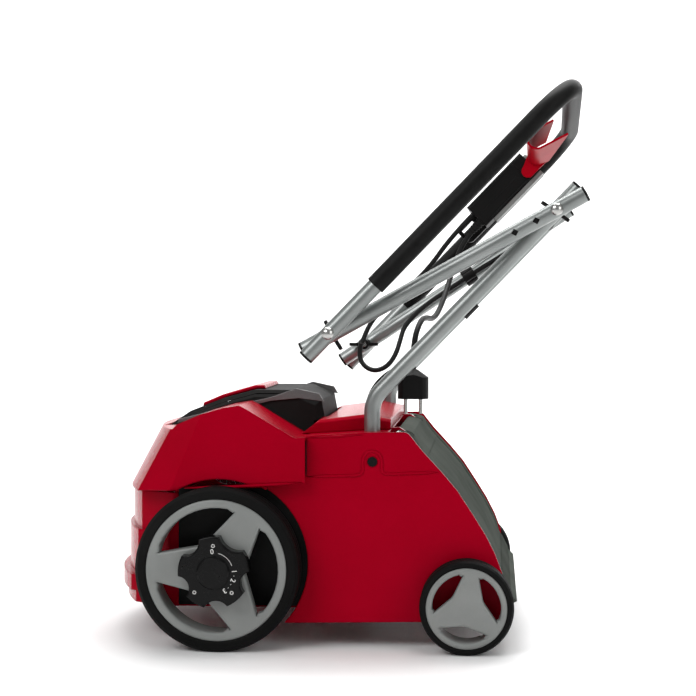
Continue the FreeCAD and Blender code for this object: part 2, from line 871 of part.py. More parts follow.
strut_bolts = []
for side in (-1, 1):
    outer = side * deck_half
    seat = Vector(size("lower_strut_x") + 2.4, outer, 229)
    strut_bolts.append(rod(6, seat - Vector(0, side * 3.2, 0), seat + Vector(0, side * 1.2, 0)).fuse(
        rod(3, seat - Vector(0, side * 16, 0), seat)))
keep("strut_screws", shaped("strut_screws", Part.makeCompound(strut_bolts)))

# ---------------------------------------------------------------- switch on the upper handle

# Handle frame: local X runs up the right leg from its pivot, local Y runs across the bar, and
# local Z points up and forwards. Y is counted from the machine's middle plane.
skew = upper_line(leg_y) - upper_line(-leg_y)
sideways_drop = skew.x * uphill.z - skew.z * uphill.x
roll = Rotation(Vector(1, 0, 0), -math.degrees(math.atan2(sideways_drop, 2 * leg_y)))
climb = Rotation(Vector(0, 1, 0), -size("upper_leg_angle"))
handle_frame = Placement(upper_line(leg_y), climb.multiply(roll)).multiply(
    Placement(Vector(0, -leg_y, 0), Rotation()))
box_start, box_end = size("box_start"), size("box_end")
box_near, box_far = 150, 217
box_low, box_high = -9, 30
pivot_reach, pivot_drop, pin_radius = 343, 2, 4
button_rise = 19


def on_handle(a, y, up):
    return handle_frame.multVec(Vector(a, y, up))


def in_handle(shape):
    shape.Placement = handle_frame.multiply(shape.Placement)
    return shape


def handle_block(low, high, corner=0.0):
    block = Part.makeBox(high[0] - low[0], high[1] - low[1], high[2] - low[2], Vector(*low))
    if corner:
        block = block.makeFillet(corner, [e for e in block.Edges if e.BoundBox.XLength > 1])
    return block


def local_rod(radius, start, end):
    return rod(radius, Vector(*start), Vector(*end))


def switch_box():
    body = handle_block((box_start, box_near, box_low), (box_end, box_far, box_high), 5)
    body = body.cut(local_rod(size("grip_radius"), (200, leg_y, 0), (400, leg_y, 0)))
    body = body.cut(local_rod(pin_radius + 0.05, (pivot_reach, box_near - 1, pivot_drop),
                              (pivot_reach, box_near + 16, pivot_drop)))
    body = body.cut(local_rod(6.05, (box_end - 14, 168, button_rise), (box_end + 1, 168, button_rise)))
    return in_handle(body)


def switch_plate():
    return in_handle(handle_block((262, box_near + 2, box_low - 6), (box_end + 3, box_far - 30, box_low)))


def relief_hook():
    frame = handle_block((box_start - 35, 170, box_low), (box_start, 182, 21))
    frame = frame.makeFillet(9, [e for e in frame.Edges if e.BoundBox.YLength > 5 and
                                 e.BoundBox.XMax < box_start - 30])
    window = handle_block((box_start - 29, 160, -2), (box_start - 8, 190, 14))
    return in_handle(frame.cut(window))


def channel_outline(centre, tilt, upper, lower):
    """Section of the lever: a round back and two straight arms that open up the handle."""
    outer, inner = 14, 11.2
    along = Vector(math.cos(tilt), math.sin(tilt), 0)
    across = Vector(-along.y, along.x, 0)

    def at(reach, aside):
        spot = centre + along * reach + across * aside
        return (spot.x, spot.y)

    return [
        at(lower, -outer),
        at(lower, -inner),
        at(0, -inner),
        at(0, inner) + at(-inner, 0),
        at(upper, inner),
        at(upper, outer),
        at(0, outer),
        at(0, -outer) + at(-outer, 0),
    ]


def switch_lever():
    """A round-backed channel that opens towards the crossbar, on an arm with a pin."""
    tilt = math.radians(-19)
    far = box_near - 1
    ends = ((far - size("lever_length"), Vector(371, 7, 0), 31, 40), (far, Vector(368, 8, 0), 20, 12))
    wires = [wire_of(channel_outline(centre, tilt, upper, lower), lambda a, b, y=y: Vector(a, y, b))
             for y, centre, upper, lower in ends]
    channel = filled(Part.makeLoft(wires, True, True))
    web = prism([(343, -7), (372, -7.5), (366, 21), (343, 11)], far, start=far - 6)
    arm = local_rod(9, (pivot_reach, far - 6, pivot_drop), (pivot_reach, far, pivot_drop))
    pin = local_rod(pin_radius, (pivot_reach, far - 2, pivot_drop), (pivot_reach, far + 16, pivot_drop))
    return in_handle(channel.fuse(web).fuse(arm).fuse(pin).removeSplitter())


def lock_button():
    body = local_rod(6, (box_end - 8, 168, button_rise), (box_end + 6, 168, button_rise))
    return in_handle(body.makeChamfer(1, [e for e in body.Edges if e.BoundBox.XMin > box_end + 5.9]))


for label, build in (("switch_box", switch_box), ("switch_box_plate", switch_plate),
                     ("strain_relief_hook", relief_hook), ("switch_lever", switch_lever),
                     ("lock_button", lock_button)):
    keep(label, shaped(label, build()))

# ---------------------------------------------------------------- mains plug and cords

plug_top = Vector(89, -128, 340)


def mains_plug():
    """A two-pin plug that hangs with its pins down: a flattened body and a conical neck."""
    body = Part.makeCylinder(19.5, 27, Vector(0, 0, -37))
    flats = Part.makeBox(44, 30, 50, Vector(-22, -15, -45))
    neck = Part.makeCone(19.5, 5.5, 10, Vector(0, 0, -10))
    shape = body.fuse(neck).common(flats).removeSplitter()
    shape.Placement = Placement(plug_top, Rotation())
    return shape


def plug_pins():
    pins = [Part.makeCylinder(2.4, 19, Vector(x, 0, -56)) for x in (-9.5, 9.5)]
    shape = Part.makeCompound(pins)
    shape.Placement = Placement(plug_top, Rotation())
    return shape


keep("mains_plug", shaped("mains_plug", mains_plug()))
keep("plug_pins", shaped("plug_pins", plug_pins()))

mains_route = [
    on_handle(box_start, 160, 2),
    on_handle(box_start - 34, 160, 2),
    Vector(131, 140, 470),
    Vector(122, 96, 434),
    Vector(114, 44, 410),
    Vector(108, -8, 402),
    Vector(103, -58, 405),
    Vector(97, -102, 402),
    plug_top + Vector(0, 0, 34),
    plug_top,
]
keep("mains_cord", cord("mains_cord", mains_route, size("mains_cord_diameter")))

# ---------------------------------------------------------------- motor cable, held along the handle

cable = size("motor_cable_diameter")
upper_meeting = 132
lower_meeting = 106
_, upper_end, fold_way = middle_run(1)


def along_middle(reach, y, side_shift=0.0):
    """A point beside the right middle tube, measured from its lower pivot towards the upper one."""
    lift = Vector(-fold_way.z, 0, fold_way.x)
    return at_y(lower_pivot + fold_way * reach + lift * side_shift, y)


fold_length = lower_line(size("middle_strut_y")).distanceToPoint(upper_end)
cable_upper_route = [
    on_handle(box_start, 158, 17),
    on_handle(box_start - 46, 158, 17),
    on_handle(box_start - 100, 163, 9),
    on_handle(box_start - 150, 163, 11),
    on_handle(58, 159, 15),
    on_handle(27, 148, 14),
    upper_line(upper_meeting + 5),
]
cable_middle_route = [
    upper_line(upper_meeting - 5),
    Vector(-2, 126, 349),
    Vector(6, 120, 334),
    Vector(22, 115, 327),
    Vector(40, 116, 334),
    Vector(52, 124, 352),
    Vector(57, 140, 373),
    Vector(62, 155, 392),
    along_middle(fold_length - 104, 162),
    along_middle(fold_length - 154, 166),
    along_middle(fold_length - 204, 166),
    along_middle(66, 152, 3),
    along_middle(30, 134, 3),
    lower_line(lower_meeting + 22),
    lower_line(lower_meeting),
]


def down_lower(reach, y, side_shift=0.0):
    """A point beside the inclined lower tube, measured down from the lower pivot."""
    return lower_line(y) - uphill * reach + Vector(-uphill.z, 0, uphill.x) * side_shift


cable_lower_route = [
    lower_line(lower_meeting),
    lower_line(lower_meeting - 22),
    down_lower(26, 76, 6),
    down_lower(56, 92, 10),
    down_lower(94, 122, 8),
    down_lower(140, 145, 6),
    down_lower(190, 145.5, 6),
    down_lower(240, 146, 8),
    down_lower(290, 148, 8),
    Vector(30, 152, 318),
    Vector(12, 158, 294),
    Vector(6, 160, 268),
    Vector(6, 160, 242),
]
for label, route in (("motor_cable_upper", cable_upper_route), ("motor_cable_middle", cable_middle_route),
                     ("motor_cable_lower", cable_lower_route)):
    keep(label, cord(label, route, cable))


def cable_clip(tube_at, cable_at, along, length):
    """A clip that hugs a tube and holds the cable beside it."""
    half = along * (length / 2)
    body = rod(tube_outer + 2.5, tube_at - half, tube_at + half)
    body = body.fuse(rod(cable / 2 + 2.5, cable_at - half, cable_at + half))
    body = body.cut(rod(tube_outer + 0.05, tube_at - along * length, tube_at + along * length))
    return body.cut(rod(cable / 2 + 0.6, cable_at - along * length, cable_at + along * length))


clip_spot = fold_length - 182
keep("middle_cable_clip", shaped("middle_cable_clip", cable_clip(
    along_middle(clip_spot, size("middle_strut_y")), along_middle(clip_spot, 166), fold_way, 18)))
keep("lower_cable_clip", shaped("lower_cable_clip", cable_clip(
    down_lower(165, size("lower_strut_y")), down_lower(165, 145.25, 6), uphill, 26)))
grommet = Part.makeCylinder(cable / 2 + 5, 4, Vector(6, 160, 263.4)).fuse(
    Part.makeCylinder(cable / 2 + 3, 9, Vector(6, 160, 256)))
keep("cable_grommet", shaped("cable_grommet", grommet.cut(
    Part.makeCylinder(cable / 2, 40, Vector(6, 160, 240))).removeSplitter()))

# ---------------------------------------------------------------- discharge flap

flap_half = size("flap_half_width")
pin_x, pin_z, flap_pin = size("flap_pin_x"), size("flap_pin_height"), size("flap_pin_radius")


def discharge_flap():
    """A curved panel with a hinge barrel, rims along its edges and a lip at its foot."""
    outer = [(82, 261.5), (88, 259), (101, 240.5), (125, 214.5), (144, 192), (162, 164.5),
             (178, 139), (190, 115.5), (199, 92), (212, 66), (219, 59)]
    inner = [(215, 57), (207, 64), (194.5, 90), (186, 113.5), (174, 137), (158, 162),
             (140, 189.5), (121, 212), (97, 238), (85, 254.5), (79, 257)]
    panel = prism(outer + inner, flap_half)
    recess = prism([(112, 235), (131, 214), (150, 190), (168, 163), (171, 158), (168.5, 156.5),
                    (165, 163), (147, 189), (128, 211), (108, 232)], flap_half - 28)
    panel = panel.cut(recess)
    web = prism([(pin_x, pin_z + 5.5), (82, 261.5), (84, 254.5), (pin_x, pin_z - 5.5)], flap_half)
    barrel = rod(5.5, Vector(pin_x, -flap_half, pin_z), Vector(pin_x, flap_half, pin_z))
    body = panel.fuse(web).fuse(barrel)
    for y in (-150, 150):
        body = body.cut(Part.makeBox(18, 18, 18, Vector(pin_x - 9, y - 9, pin_z - 9)))
    for y in (-124, 124):
        body = body.cut(Part.makeBox(32, 10, 34, Vector(pin_x - 14, y - 5, pin_z - 18)))
    ribs = [(194.5, 90), (207, 64), (202, 62), (189, 88)]
    for y in (-165, -110, -55, 0, 55, 110, 165):
        body = body.fuse(prism(ribs, y + 1.5, start=y - 1.5))
    bore = rod(flap_pin + 0.05, Vector(pin_x, -200, pin_z), Vector(pin_x, 200, pin_z))
    return body.cut(bore).removeSplitter()


keep("discharge_flap", shaped("discharge_flap", discharge_flap()))
keep("flap_hinge_pin", cylinder("flap_hinge_pin", "sizes.flap_pin_radius", 2 * (deck_half - wall),
                                sideways(pin_x, wall - deck_half, pin_z)))


def flap_spring():
    """Two coiled torsion springs round the hinge pin."""
    wire, turns, pitch, coil = 0.8, 5, 2.2, 4.6
    helix = Part.makeHelix(pitch, pitch * turns, coil)
    start = helix.Edges[0]
    ring_at = Part.Wire([Part.makeCircle(wire, start.valueAt(start.FirstParameter),
                                         start.tangentAt(start.FirstParameter))])
    body = helix.makePipeShell([ring_at], True, True)
    coils = []
    for y in (-150, 150):
        spring = body.copy()
        spring.Placement = Placement(Vector(pin_x, y - pitch * turns / 2, pin_z), ALONG_Y)
        coils.append(spring)
    return Part.makeCompound(coils)


keep("flap_spring", shaped("flap_spring", flap_spring()))

# ---------------------------------------------------------------- motor, belt and roller

motor_x, motor_z = size("motor_x"), size("motor_height")
belt_y = size("belt_y")
small_pulley, big_pulley = size("small_pulley"), size("big_pulley")


def motor_stator():
    radius = size("motor_radius")
    body = rod(radius, Vector(motor_x, -64, motor_z), Vector(motor_x, 64, motor_z))
    body = body.cut(rod(28, Vector(motor_x, -58, motor_z), Vector(motor_x, 58, motor_z)))
    return body.cut(rod(5.05, Vector(motor_x, -70, motor_z), Vector(motor_x, 70, motor_z)))


def motor_rotor():
    """Armature, shaft, fan and small pulley, turning as one piece."""
    shaft = rod(5, Vector(motor_x, -76, motor_z), Vector(motor_x, belt_y + 7, motor_z))
    armature = rod(25, Vector(motor_x, -52, motor_z), Vector(motor_x, 52, motor_z))
    fan = rod(36, Vector(motor_x, 68, motor_z), Vector(motor_x, 71, motor_z))
    for step in range(9):
        blade = Part.makeBox(16, 9, 1.6, Vector(motor_x + 18, 70, motor_z))
        blade.rotate(Vector(motor_x, 0, motor_z), Vector(0, 1, 0), step * 40)
        fan = fan.fuse(blade)
    pulley = rod(small_pulley, Vector(motor_x, belt_y - 5, motor_z), Vector(motor_x, belt_y + 5, motor_z))
    return shaft.fuse(armature).fuse(fan).fuse(pulley).removeSplitter()


def on_roller(y):
    return Vector(roller_x, y, roller_height)


def roller_drum():
    return rod(8, on_roller(-173), on_roller(belt_y + 6)).fuse(rod(20, on_roller(-158), on_roller(138)))


def roller_blades():
    """Pairs of hooked knives round the drum, each pair a turn further on."""
    tip = size("roller_blade_radius")
    blades = []
    for step in range(16):
        y = -148 + step * 18.4
        plate = rod(26, on_roller(y - 1), on_roller(y + 1))
        arm = prism([(roller_x - 9, roller_height), (roller_x + 9, roller_height),
                     (roller_x + 3, roller_height + tip), (roller_x - 3, roller_height + tip - 4)],
                    y + 1, start=y - 1)
        other = arm.copy()
        other.rotate(on_roller(y), Vector(0, 1, 0), 180)
        plate = plate.fuse(arm).fuse(other).cut(rod(20, on_roller(y - 2), on_roller(y + 2)))
        plate.rotate(on_roller(y), Vector(0, 1, 0), step * 22.5)
        blades.append(plate)
    return Part.makeCompound(blades)


def driven_pulley():
    body = rod(big_pulley, on_roller(belt_y - 5), on_roller(belt_y + 5))
    return body.cut(rod(8, on_roller(belt_y - 6), on_roller(belt_y + 7)))


def loop_outline(first, first_radius, second, second_radius):
    """Outline of a belt round two pulleys: two tangents and two arcs."""
    span = math.hypot(second[0] - first[0], second[1] - first[1])
    heading = math.degrees(math.atan2(second[1] - first[1], second[0] - first[0]))
    lean = math.degrees(math.acos((first_radius - second_radius) / span))

    def at(centre, radius, angle):
        dx, dz = ray(radius, angle)
        return (centre[0] + dx, centre[1] + dz)

    return [
        at(first, first_radius, heading - lean),
        at(second, second_radius, heading - lean),
        at(second, second_radius, heading + lean) + at(second, second_radius, heading),
        at(first, first_radius, heading + lean),
        at(first, first_radius, heading - lean) + at(first, first_radius, heading + 180),
    ]


def drive_belt():
    first, second = (motor_x, motor_z), (roller_x, roller_height)
    gap, thick = 0.3, 4
    outer = loop_outline(first, small_pulley + gap + thick, second, big_pulley + gap + thick)
    inner = loop_outline(first, small_pulley + gap, second, big_pulley + gap)
    outer = [outer[-1]] + outer[1:-1]
    inner = [inner[-1]] + inner[1:-1]
    return prism(outer, belt_y + 4, start=belt_y - 4).cut(prism(inner, belt_y + 5, start=belt_y - 5))


for label, build in (("motor_stator", motor_stator), ("motor_rotor", motor_rotor),
                     ("roller_drum", roller_drum), ("roller_blades", roller_blades),
                     ("driven_pulley", driven_pulley), ("drive_belt", drive_belt)):
    keep(label, shaped(label, build()))

# ---------------------------------------------------------------- write the pieces

doc.recompute()
failed = [item.Label for item in doc.Objects if {"Invalid", "Error"} & set(item.State)]
if failed:
    raise RuntimeError(f"features failed: {failed}")
for label, item in NODES.items():
    if item.Shape.isNull() or not item.Shape.isValid() or not item.Shape.Solids:
        raise RuntimeError(f"{label} has no valid solid")
os.makedirs("parts", exist_ok=True)
for label, item in NODES.items():
    item.Shape.exportStep(f"parts/{label}.step")
print(f"{len(NODES)} pieces written")
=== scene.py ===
import bmesh
import bpy
import json
import math
from mathutils import Matrix, Vector


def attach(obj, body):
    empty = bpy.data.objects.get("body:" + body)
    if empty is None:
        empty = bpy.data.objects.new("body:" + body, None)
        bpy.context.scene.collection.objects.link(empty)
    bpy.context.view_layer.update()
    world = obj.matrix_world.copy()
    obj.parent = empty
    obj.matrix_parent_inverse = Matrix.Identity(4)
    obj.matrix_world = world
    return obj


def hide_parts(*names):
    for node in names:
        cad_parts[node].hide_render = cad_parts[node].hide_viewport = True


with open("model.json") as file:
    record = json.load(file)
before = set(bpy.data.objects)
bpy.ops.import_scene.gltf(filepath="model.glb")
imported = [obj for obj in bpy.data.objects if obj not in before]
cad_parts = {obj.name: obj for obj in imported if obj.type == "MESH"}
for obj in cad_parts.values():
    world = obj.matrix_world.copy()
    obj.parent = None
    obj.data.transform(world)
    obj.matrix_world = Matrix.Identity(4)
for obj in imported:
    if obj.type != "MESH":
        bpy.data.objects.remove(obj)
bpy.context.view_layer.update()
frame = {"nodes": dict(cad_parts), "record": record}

# ---------------------------------------------------------------- camera

CAMERA_AT = (0.1906, -2.0866, 0.4187)
CAMERA_YAW = math.radians(-4.074)
CAMERA_PITCH = math.radians(-0.808)
CAMERA_LENS = 80.5
CAMERA_SHIFT = (-0.0505, -0.0276)


def make_camera():
    data = bpy.data.cameras.new("camera")
    data.lens = CAMERA_LENS
    data.sensor_width = 36
    data.shift_x, data.shift_y = CAMERA_SHIFT
    camera = bpy.data.objects.new("camera", data)
    bpy.context.collection.objects.link(camera)
    camera.location = CAMERA_AT
    ahead = Vector((math.sin(CAMERA_YAW) * math.cos(CAMERA_PITCH),
                    math.cos(CAMERA_YAW) * math.cos(CAMERA_PITCH), math.sin(CAMERA_PITCH)))
    camera.rotation_euler = ahead.to_track_quat("-Z", "Y").to_euler()
    bpy.context.scene.camera = camera


make_camera()

# ---------------------------------------------------------------- materials


FINE_SHARE, CLOUD_SHARE = 0.35, 0.65     # how much of the colour each noise gives


def node(tree, kind, **settings):
    """Add a shader node, with its inputs or its settings given by name."""
    item = tree.nodes.new(kind)
    for name, value in settings.items():
        if name in item.inputs:
            item.inputs[name].default_value = value
        else:
            setattr(item, name, value)
    return item


def finish_material(name, dark, light, rough=(0.3, 0.4), grain=400.0, relief=0.02, cloud=9.0,
                    metallic=0.0, coat=0.0, edge=0.0012, specular=0.5, tint=(1, 1, 1)):
    """A surface with cloudy colour, fine grain, uneven gloss and softly rounded edges."""
    material = bpy.data.materials.new(name)
    material.use_nodes = True
    tree = material.node_tree
    shader = tree.nodes["Principled BSDF"]
    shader.inputs["Metallic"].default_value = metallic
    shader.inputs["Coat Weight"].default_value = coat
    shader.inputs["Coat Roughness"].default_value = 0.08
    shader.inputs["Specular IOR Level"].default_value = specular
    shader.inputs["Specular Tint"].default_value = (*tint, 1)
    place = node(tree, "ShaderNodeTexCoord")
    clouds = node(tree, "ShaderNodeTexNoise", Scale=cloud, Detail=4.0, Roughness=0.6)
    fine = node(tree, "ShaderNodeTexNoise", Scale=grain, Detail=3.0, Roughness=0.55)
    for texture in (clouds, fine):
        tree.links.new(place.outputs["Object"], texture.inputs["Vector"])
    blend = node(tree, "ShaderNodeMix", data_type="RGBA")
    blend.inputs["A"].default_value = (*dark, 1)
    blend.inputs["B"].default_value = (*light, 1)
    mixed = node(tree, "ShaderNodeMath", operation="MULTIPLY_ADD")
    mixed.inputs[1].default_value = FINE_SHARE
    tree.links.new(fine.outputs["Fac"], mixed.inputs[0])
    spread = node(tree, "ShaderNodeMapRange")
    spread.inputs["From Min"].default_value = 0.3
    spread.inputs["From Max"].default_value = 0.7
    tree.links.new(clouds.outputs["Fac"], spread.inputs["Value"])
    soften = node(tree, "ShaderNodeMath", operation="MULTIPLY")
    soften.inputs[1].default_value = CLOUD_SHARE
    tree.links.new(spread.outputs["Result"], soften.inputs[0])
    tree.links.new(soften.outputs[0], mixed.inputs[2])
    tree.links.new(mixed.outputs[0], blend.inputs["Factor"])
    tree.links.new(blend.outputs["Result"], shader.inputs["Base Color"])
    gloss = node(tree, "ShaderNodeMapRange")
    gloss.inputs["To Min"].default_value = rough[0]
    gloss.inputs["To Max"].default_value = rough[1]
    tree.links.new(fine.outputs["Fac"], gloss.inputs["Value"])
    tree.links.new(gloss.outputs["Result"], shader.inputs["Roughness"])
    bump = node(tree, "ShaderNodeBump", Strength=0.6, Distance=relief * 0.001)
    tree.links.new(fine.outputs["Fac"], bump.inputs["Height"])
    if edge:
        corners = node(tree, "ShaderNodeBevel", Radius=edge)
        corners.samples = 6
        tree.links.new(corners.outputs["Normal"], bump.inputs["Normal"])
    tree.links.new(bump.outputs["Normal"], shader.inputs["Normal"])
    return material


MATERIALS = {
    "red_plastic": finish_material("red_plastic", (0.275, 0.0, 0.008), (0.36, 0.0, 0.013), (0.18, 0.28),
                                   grain=260, relief=0.05, cloud=5, edge=0.003, specular=0.07,
                                   tint=(1, 0.2, 0.24)),
    "black_plastic": finish_material("black_plastic", (0.0035, 0.0035, 0.0035), (0.009, 0.0088, 0.0087),
                                     (0.36, 0.5), grain=900, relief=0.25, specular=0.1),
    "knob_black": finish_material("knob_black", (0.002, 0.002, 0.002), (0.005, 0.005, 0.005),
                                  (0.1, 0.18), grain=700, relief=0.04, coat=0.02, specular=0.12),
    "grey_plastic": finish_material("grey_plastic", (0.15, 0.155, 0.15), (0.23, 0.235, 0.225),
                                    (0.3, 0.45), grain=700, relief=0.1, specular=0.2),
    "trim_grey": finish_material("trim_grey", (0.10, 0.10, 0.10), (0.20, 0.20, 0.20), (0.2, 0.3),
                                 grain=500, relief=0.05, metallic=0.5),
    "wheel_grey": finish_material("wheel_grey", (0.16, 0.168, 0.162), (0.235, 0.245, 0.237), (0.35, 0.5),
                                  grain=800, relief=0.15, edge=0.0022),
    "tyre_black": finish_material("tyre_black", (0.0035, 0.0035, 0.0035), (0.009, 0.009, 0.0088),
                                  (0.5, 0.7), grain=1200, relief=0.5, edge=0.0015, specular=0.05),
    "flap_grey": finish_material("flap_grey", (0.050, 0.057, 0.050), (0.095, 0.103, 0.093), (0.5, 0.65),
                                 grain=800, relief=0.3, edge=0.0015, specular=0.0),
    "lever_red": finish_material("lever_red", (0.26, 0.001, 0.006), (0.40, 0.003, 0.012), (0.3, 0.4),
                                 grain=300, relief=0.04, specular=0.02, tint=(1, 0.25, 0.25)),
    "cover_black": finish_material("cover_black", (0.008, 0.008, 0.008), (0.02, 0.0195, 0.019),
                                   (0.4, 0.55), grain=900, relief=0.3, specular=0.015),
    "tube_silver": finish_material("tube_silver", (0.19, 0.205, 0.20), (0.32, 0.335, 0.33), (0.3, 0.44),
                                   grain=500, relief=0.06, metallic=0.8, edge=0.0005),
    "zinc_steel": finish_material("zinc_steel", (0.40, 0.40, 0.39), (0.60, 0.60, 0.58), (0.16, 0.34),
                                  grain=600, relief=0.08, metallic=1.0, edge=0.0006),
    "cord_rubber": finish_material("cord_rubber", (0.004, 0.004, 0.004), (0.010, 0.010, 0.010),
                                   (0.38, 0.55), grain=1000, relief=0.12, edge=0, specular=0.14),
    "grip_foam_black": finish_material("grip_foam_black", (0.0025, 0.0025, 0.0025),
                                       (0.007, 0.007, 0.0068), (0.4, 0.52), grain=1400, relief=0.4,
                                       cloud=60, edge=0.0008, specular=0.12),
    "print_white": finish_material("print_white", (0.66, 0.66, 0.64), (0.8, 0.8, 0.78), (0.4, 0.55),
                                   grain=900, relief=0.03, edge=0),
}

SLOT_OF = {entry["node"]: entry["material_slot"] for entry in frame["record"]["subparts"]}
OWN_FINISH = {"depth_knob": "knob_black", "axle_end_cap": "knob_black", "cover_trim": "trim_grey",
              "motor_cover": "cover_black"}
for name, item in frame["nodes"].items():
    item.data.materials.clear()
    item.data.materials.append(MATERIALS[OWN_FINISH.get(name, SLOT_OF[name])])

# ---------------------------------------------------------------- the handle's frame

LOWER_PIVOT = Vector((0.2665, 0, 0.537))
SLOPE = math.radians(45.85)
LEG = 201                    # the legs of the upper bar, in millimetres from the middle
LEG_Y = LEG / 1000
TUBE = 180.5                 # the tubes of the middle section
UPHILL = Vector((math.cos(SLOPE), 0, math.sin(SLOPE)))
SKEW = Vector((0.014, 0, -0.024))
DOWNWARD = Vector((math.sin(SLOPE), 0, -math.cos(SLOPE)))
ROLL = math.atan2(SKEW.dot(DOWNWARD), 2 * LEG_Y)
ACROSS = Vector((0, math.cos(ROLL), 0)) + DOWNWARD * math.sin(ROLL)
ABOVE = UPHILL.cross(ACROSS)


def at_y(point, y):
    """The same point at another y, given in millimetres."""
    return Vector((point.x, y / 1000, point.z))


def millimetres(x, y, z):
    return Vector((x, y, z)) / 1000


def lower_line(y):
    """A point on the lower fold line."""
    return at_y(LOWER_PIVOT, y)


def upper_line(y):
    """A point on the upper fold line, which lies lower on the right."""
    share = (y / 1000 + LEG_Y) / (2 * LEG_Y)
    return millimetres(-10.3, y, 386) + SKEW * share


def on_handle(a, y, up):
    """A point on the upper handle in millimetres: along the leg, across, and above it."""
    return upper_line(LEG) + UPHILL * a / 1000 + ACROSS * (y - LEG) / 1000 + ABOVE * up / 1000


FOLD_END = upper_line(TUBE)
FOLD_WAY = (FOLD_END - lower_line(TUBE)).normalized()
FOLD = (FOLD_END - lower_line(TUBE)).length * 1000


def along_middle(reach, y, shift=0.0):
    """A point on the line of the middle tubes, from the lower fold."""
    lift = Vector((-FOLD_WAY.z, 0, FOLD_WAY.x))
    return at_y(LOWER_PIVOT + FOLD_WAY * reach / 1000 + lift * shift / 1000, y)


def down_lower(reach, y, shift=0.0):
    """A point on the line of the lower tubes, down from the lower fold."""
    away = Vector((-UPHILL.z, 0, UPHILL.x))
    return lower_line(y) - UPHILL * reach / 1000 + away * shift / 1000


# ---------------------------------------------------------------- cords

BOX_START = 246
PLUG_TOP = (89, -128, 340)

MAINS_ROUTE = [
    on_handle(BOX_START, 160, 2),
    on_handle(BOX_START - 34, 160, 2),
    millimetres(131, 140, 470),
    millimetres(122, 96, 434),
    millimetres(114, 44, 410),
    millimetres(108, -8, 402),
    millimetres(103, -58, 405),
    millimetres(97, -102, 402),
    millimetres(89, -128, 374),
    millimetres(*PLUG_TOP),
]
CABLE_UPPER_ROUTE = [
    on_handle(BOX_START, 158, 17),
    on_handle(BOX_START - 46, 158, 17),
    on_handle(BOX_START - 100, 163, 9),
    on_handle(BOX_START - 150, 163, 11),
    on_handle(58, 159, 15),
    on_handle(27, 148, 14),
    upper_line(137),
]
CABLE_MIDDLE_ROUTE = [
    upper_line(127),
    millimetres(-2, 126, 349),
    millimetres(6, 120, 334),
    millimetres(22, 115, 327),
    millimetres(40, 116, 334),
    millimetres(52, 124, 352),
    millimetres(57, 140, 373),
    millimetres(62, 155, 392),
    along_middle(FOLD - 104, 162),
    along_middle(FOLD - 154, 166),
    along_middle(FOLD - 204, 166),
    along_middle(66, 152, 3),
    along_middle(30, 134, 3),
    lower_line(128),
    lower_line(106),
]
CABLE_LOWER_ROUTE = [
    lower_line(106),
    lower_line(84),
    down_lower(26, 76, 6),
    down_lower(56, 92, 10),
    down_lower(94, 122, 8),
    down_lower(140, 145, 6),
    down_lower(190, 145.5, 6),
    down_lower(240, 146, 8),
    down_lower(290, 148, 8),
    millimetres(30, 152, 318),
    millimetres(12, 158, 294),
    millimetres(6, 160, 268),
    millimetres(6, 160, 242),
]


def smooth_cord(name, route, diameter, body, replaced):
    """A round cord along one smooth curve."""
    curve = bpy.data.curves.new(name, "CURVE")
    curve.dimensions = "3D"
    curve.resolution_u = 10
    curve.bevel_depth = diameter / 2
    curve.bevel_resolution = 5
    curve.use_fill_caps = True
    spline = curve.splines.new("NURBS")
    spline.points.add(len(route) - 1)
    for point, place in zip(spline.points, route):
        point.co = (*place, 1)
    spline.order_u = 3
    spline.use_endpoint_u = True
    cord = bpy.data.objects.new(name, curve)
    bpy.context.collection.objects.link(cord)
    curve.materials.append(MATERIALS["cord_rubber"])
    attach(cord, body)
    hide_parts(replaced)
    return cord


mains = smooth_cord("mains_cord_smooth", MAINS_ROUTE, 0.0075, "upper_section", "mains_cord")
smooth_cord("motor_cable_upper_smooth", CABLE_UPPER_ROUTE, 0.007, "upper_section", "motor_cable_upper")
smooth_cord("motor_cable_middle_smooth", CABLE_MIDDLE_ROUTE, 0.007, "middle_section",
            "motor_cable_middle")
smooth_cord("motor_cable_lower_smooth", CABLE_LOWER_ROUTE, 0.007, "housing", "motor_cable_lower")

# ---------------------------------------------------------------- small shapes

SIDES = ((-1, "left"), (1, "right"))
PATH_STEPS = 5
CORNER_STEPS = 5
BEAD_SIDES = 6
BEAD_SINK = 0.0003


def add_piece(name, mesh, body, material, smooth=True):
    """Turn a bmesh into a piece that rides on a body."""
    bmesh.ops.recalc_face_normals(mesh, faces=mesh.faces)
    data = bpy.data.meshes.new(name)
    mesh.to_mesh(data)
    mesh.free()
    for face in data.polygons:
        face.use_smooth = smooth
    piece = bpy.data.objects.new(name, data)
    bpy.context.collection.objects.link(piece)
    data.materials.append(MATERIALS[material])
    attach(piece, body)
    return piece


def smooth_path(points):
    """Points along a curve through the given ones."""
    ends = [points[0] * 2 - points[1], *points, points[-1] * 2 - points[-2]]
    path = []
    for before, start, end, after in zip(ends, ends[1:], ends[2:], ends[3:]):
        for step in range(PATH_STEPS):
            t = step / PATH_STEPS
            square = 2 * before - 5 * start + 4 * end - after
            cube = 3 * start - before - 3 * end + after
            path.append(0.5 * (2 * start + (end - before) * t + square * t * t + cube * t ** 3))
    return path + [points[-1]]


